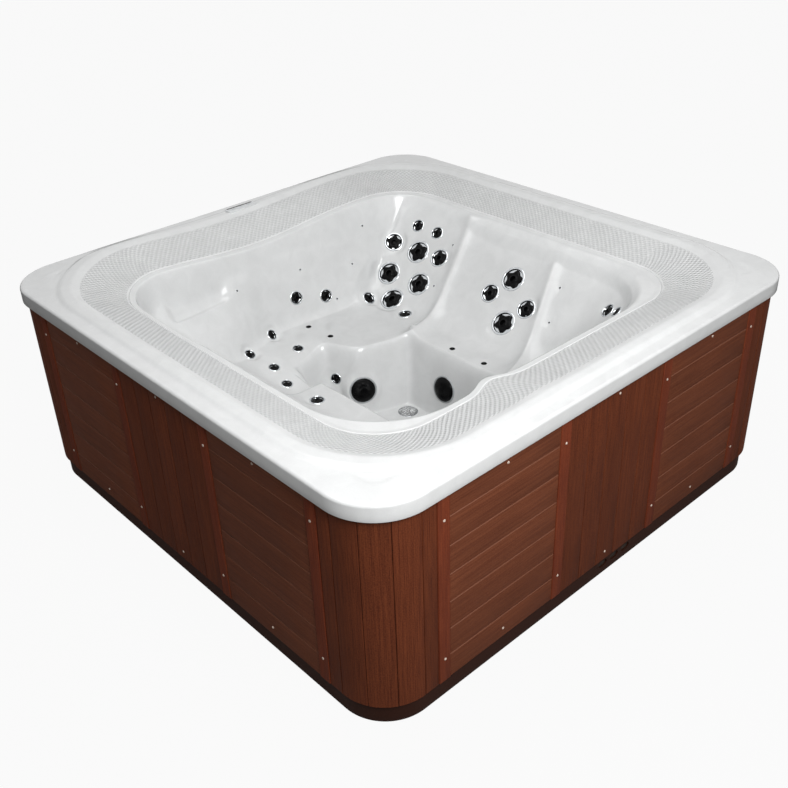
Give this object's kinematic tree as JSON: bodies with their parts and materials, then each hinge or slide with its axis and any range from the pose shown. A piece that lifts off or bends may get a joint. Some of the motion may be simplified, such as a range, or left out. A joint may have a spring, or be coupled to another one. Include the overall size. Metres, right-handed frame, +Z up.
{
  "type": "hot tub",
  "caption": "Square hot tub: moulded shell with lounge and seats, star faced jets that turn, suction fittings, lights, button panel, wood grain skirt on a frame, pumps and heater.",
  "frame": {"origin": "on the ground under the middle of the tub", "axes": "+Z up, -Y towards the side with the vent holes in the base, +X to the right seen from that side"},
  "size_m": [2.1012, 2.1012, 0.86],
  "materials": {
    "acrylic": "glossy white acrylic",
    "skirt_boards": "wood grain composite boards",
    "stile_boards": "wood grain composite planks",
    "base_plastic": "moulded dark brown plastic",
    "timber": "planed softwood",
    "screw_heads": "painted pan heads",
    "jet_chrome": "bright chrome",
    "star_plastic": "gloss black plastic",
    "grille_plastic": "satin black plastic",
    "fitting_plastic": "grey moulded plastic",
    "lens": "clear moulded lens",
    "panel_plastic": "gloss black plastic",
    "button_plastic": "soft grey plastic",
    "pump_metal": "black paint",
    "heater_steel": "brushed stainless steel",
    "box_plastic": "grey plastic",
    "pipe_plastic": "white plastic pipe"
  },
  "bodies": {
    "tub": {"shell": "acrylic", "base_pan": "base_plastic", "frame": "timber", "corner_panel_1": "skirt_boards", "corner_panel_2": "skirt_boards", "corner_panel_3": "skirt_boards", "corner_panel_4": "skirt_boards", "centre_panel_1": "skirt_boards", "centre_panel_2": "skirt_boards", "centre_panel_3": "skirt_boards", "centre_panel_4": "skirt_boards", "board_panels_1": "skirt_boards", "board_panels_2": "skirt_boards", "board_panels_3": "skirt_boards", "board_panels_4": "skirt_boards", "stiles": "stile_boards", "panel_screws": "screw_heads", "jet_bodies_large": "jet_chrome", "jet_bodies_medium": "jet_chrome", "jet_bodies_small": "jet_chrome", "jet_bodies_mini": "jet_chrome", "suction_covers": "grille_plastic", "suction_bodies": "fitting_plastic", "floor_light": "lens", "led_lights": "lens", "air_injectors": "grille_plastic", "control_panel": "panel_plastic", "pumps": "pump_metal", "heater": "heater_steel", "control_box": "box_plastic", "manifold": "pipe_plastic"},
    "star_captain_1_body": {"star_captain_1": "star_plastic"},
    "star_captain_2_body": {"star_captain_2": "star_plastic"},
    "star_captain_3_body": {"star_captain_3": "star_plastic"},
    "star_captain_4_body": {"star_captain_4": "star_plastic"},
    "star_captain_5_body": {"star_captain_5": "star_plastic"},
    "star_captain_6_body": {"star_captain_6": "star_plastic"},
    "star_captain_7_body": {"star_captain_7": "star_plastic"},
    "star_captain_8_body": {"star_captain_8": "star_plastic"},
    "star_captain_9_body": {"star_captain_9": "star_plastic"},
    "star_captain_10_body": {"star_captain_10": "star_plastic"},
    "star_right_1_body": {"star_right_1": "star_plastic"},
    "star_right_2_body": {"star_right_2": "star_plastic"},
    "star_right_3_body": {"star_right_3": "star_plastic"},
    "star_right_4_body": {"star_right_4": "star_plastic"},
    "star_corner_1_body": {"star_corner_1": "star_plastic"},
    "star_corner_2_body": {"star_corner_2": "star_plastic"},
    "star_lounge_1_body": {"star_lounge_1": "star_plastic"},
    "star_lounge_2_body": {"star_lounge_2": "star_plastic"},
    "star_calf_1_body": {"star_calf_1": "star_plastic"},
    "star_calf_2_body": {"star_calf_2": "star_plastic"},
    "star_calf_3_body": {"star_calf_3": "star_plastic"},
    "star_calf_4_body": {"star_calf_4": "star_plastic"},
    "star_calf_5_body": {"star_calf_5": "star_plastic"},
    "star_foot_body": {"star_foot": "star_plastic"},
    "star_well_body": {"star_well": "star_plastic"},
    "button_1_body": {"button_1": "button_plastic"},
    "button_2_body": {"button_2": "button_plastic"},
    "button_3_body": {"button_3": "button_plastic"}
  },
  "joints": [
    {"name": "star_captain_1_turn", "type": "hinge", "parent": "tub", "child": "star_captain_1_body", "pos_m": [0.654, 0.547, 0.67746], "axis": [-0.7079, -0.1414, 0.692], "range_deg": [0, 90]},
    {"name": "star_captain_2_turn", "type": "hinge", "parent": "tub", "child": "star_captain_2_body", "pos_m": [0.665, 0.437, 0.66954], "axis": [-0.7132, -0.1004, 0.6938], "range_deg": [0, 90]},
    {"name": "star_captain_3_turn", "type": "hinge", "parent": "tub", "child": "star_captain_3_body", "pos_m": [0.565, 0.615, 0.60689], "axis": [-0.5811, -0.4677, 0.6661], "range_deg": [0, 90]},
    {"name": "star_captain_4_turn", "type": "hinge", "parent": "tub", "child": "star_captain_4_body", "pos_m": [0.584, 0.477, 0.59265], "axis": [-0.7111, -0.1177, 0.6932], "range_deg": [0, 90]},
    {"name": "star_captain_5_turn", "type": "hinge", "parent": "tub", "child": "star_captain_5_body", "pos_m": [0.6, 0.36, 0.59296], "axis": [-0.7159, -0.0736, 0.6943], "range_deg": [0, 90]},
    {"name": "star_captain_6_turn", "type": "hinge", "parent": "tub", "child": "star_captain_6_body", "pos_m": [0.477, 0.558, 0.49943], "axis": [-0.6902, -0.1707, 0.7032], "range_deg": [0, 90]},
    {"name": "star_captain_7_turn", "type": "hinge", "parent": "tub", "child": "star_captain_7_body", "pos_m": [0.499, 0.389, 0.49234], "axis": [-0.7071, -0.0884, 0.7015], "range_deg": [0, 90]},
    {"name": "star_captain_8_turn", "type": "hinge", "parent": "tub", "child": "star_captain_8_body", "pos_m": [0.408, 0.467, 0.42497], "axis": [-0.5392, -0.0876, 0.8376], "range_deg": [0, 90]},
    {"name": "star_captain_9_turn", "type": "hinge", "parent": "tub", "child": "star_captain_9_body", "pos_m": [0.351, 0.557, 0.41945], "axis": [0.0493, -0.6785, 0.733], "range_deg": [0, 90]},
    {"name": "star_captain_10_turn", "type": "hinge", "parent": "tub", "child": "star_captain_10_body", "pos_m": [0.372, 0.345, 0.40543], "axis": [-0.1375, 0, 0.9905], "range_deg": [0, 90]},
    {"name": "star_right_1_turn", "type": "hinge", "parent": "tub", "child": "star_right_1_body", "pos_m": [0.627, -0.048, 0.61056], "axis": [-0.7208, 0, 0.6931], "range_deg": [0, 90]},
    {"name": "star_right_2_turn", "type": "hinge", "parent": "tub", "child": "star_right_2_body", "pos_m": [0.564, 0.023, 0.54504], "axis": [-0.7208, 0, 0.6931], "range_deg": [0, 90]},
    {"name": "star_right_3_turn", "type": "hinge", "parent": "tub", "child": "star_right_3_body", "pos_m": [0.56, -0.179, 0.54106], "axis": [-0.7239, 0.022, 0.6896], "range_deg": [0, 90]},
    {"name": "star_right_4_turn", "type": "hinge", "parent": "tub", "child": "star_right_4_body", "pos_m": [0.498, -0.112, 0.47658], "axis": [-0.7038, 0, 0.7104], "range_deg": [0, 90]},
    {"name": "star_corner_1_turn", "type": "hinge", "parent": "tub", "child": "star_corner_1_body", "pos_m": [0.61, -0.54, 0.64031], "axis": [-0.5731, 0.4371, 0.6932], "range_deg": [0, 90]},
    {"name": "star_corner_2_turn", "type": "hinge", "parent": "tub", "child": "star_corner_2_body", "pos_m": [0.585, -0.597, 0.66348], "axis": [-0.4474, 0.5651, 0.6932], "range_deg": [0, 90]},
    {"name": "star_lounge_1_turn", "type": "hinge", "parent": "tub", "child": "star_lounge_1_body", "pos_m": [0.014, 0.643, 0.5104], "axis": [-0.0993, -0.9433, 0.3167], "range_deg": [0, 90]},
    {"name": "star_lounge_2_turn", "type": "hinge", "parent": "tub", "child": "star_lounge_2_body", "pos_m": [0.156, 0.618, 0.47912], "axis": [-0.0869, -0.938, 0.3356], "range_deg": [0, 90]},
    {"name": "star_calf_1_turn", "type": "hinge", "parent": "tub", "child": "star_calf_1_body", "pos_m": [-0.162, 0.599, 0.41461], "axis": [0.2273, -0.7434, 0.6291], "range_deg": [0, 90]},
    {"name": "star_calf_2_turn", "type": "hinge", "parent": "tub", "child": "star_calf_2_body", "pos_m": [-0.136, 0.457, 0.39222], "axis": [-0.019, -0.1881, 0.982], "range_deg": [0, 90]},
    {"name": "star_calf_3_turn", "type": "hinge", "parent": "tub", "child": "star_calf_3_body", "pos_m": [-0.319, 0.541, 0.40517], "axis": [0.1443, -0.5118, 0.8469], "range_deg": [0, 90]},
    {"name": "star_calf_4_turn", "type": "hinge", "parent": "tub", "child": "star_calf_4_body", "pos_m": [-0.293, 0.415, 0.38275], "axis": [0, -0.2425, 0.9702], "range_deg": [0, 90]},
    {"name": "star_calf_5_turn", "type": "hinge", "parent": "tub", "child": "star_calf_5_body", "pos_m": [-0.311, 0.31, 0.35659], "axis": [0.0344, -0.2346, 0.9715], "range_deg": [0, 90]},
    {"name": "star_foot_turn", "type": "hinge", "parent": "tub", "child": "star_foot_body", "pos_m": [-0.351, 0.065, 0.404], "axis": [0.0086, 0, 1], "range_deg": [0, 90]},
    {"name": "star_well_turn", "type": "hinge", "parent": "tub", "child": "star_well_body", "pos_m": [-0.05, 0.327, 0.26207], "axis": [-0.8958, -0.3988, 0.1961], "range_deg": [0, 90]},
    {"name": "button_1_press", "type": "slide", "parent": "tub", "child": "button_1_body", "axis": [0, 0, -1], "range_m": [0, 0.0012], "stiffness_N_per_m": 600},
    {"name": "button_2_press", "type": "slide", "parent": "tub", "child": "button_2_body", "axis": [0, 0, -1], "range_m": [0, 0.0012], "stiffness_N_per_m": 600},
    {"name": "button_3_press", "type": "slide", "parent": "tub", "child": "button_3_body", "axis": [0, 0, -1], "range_m": [0, 0.0012], "stiffness_N_per_m": 600}
  ]
}
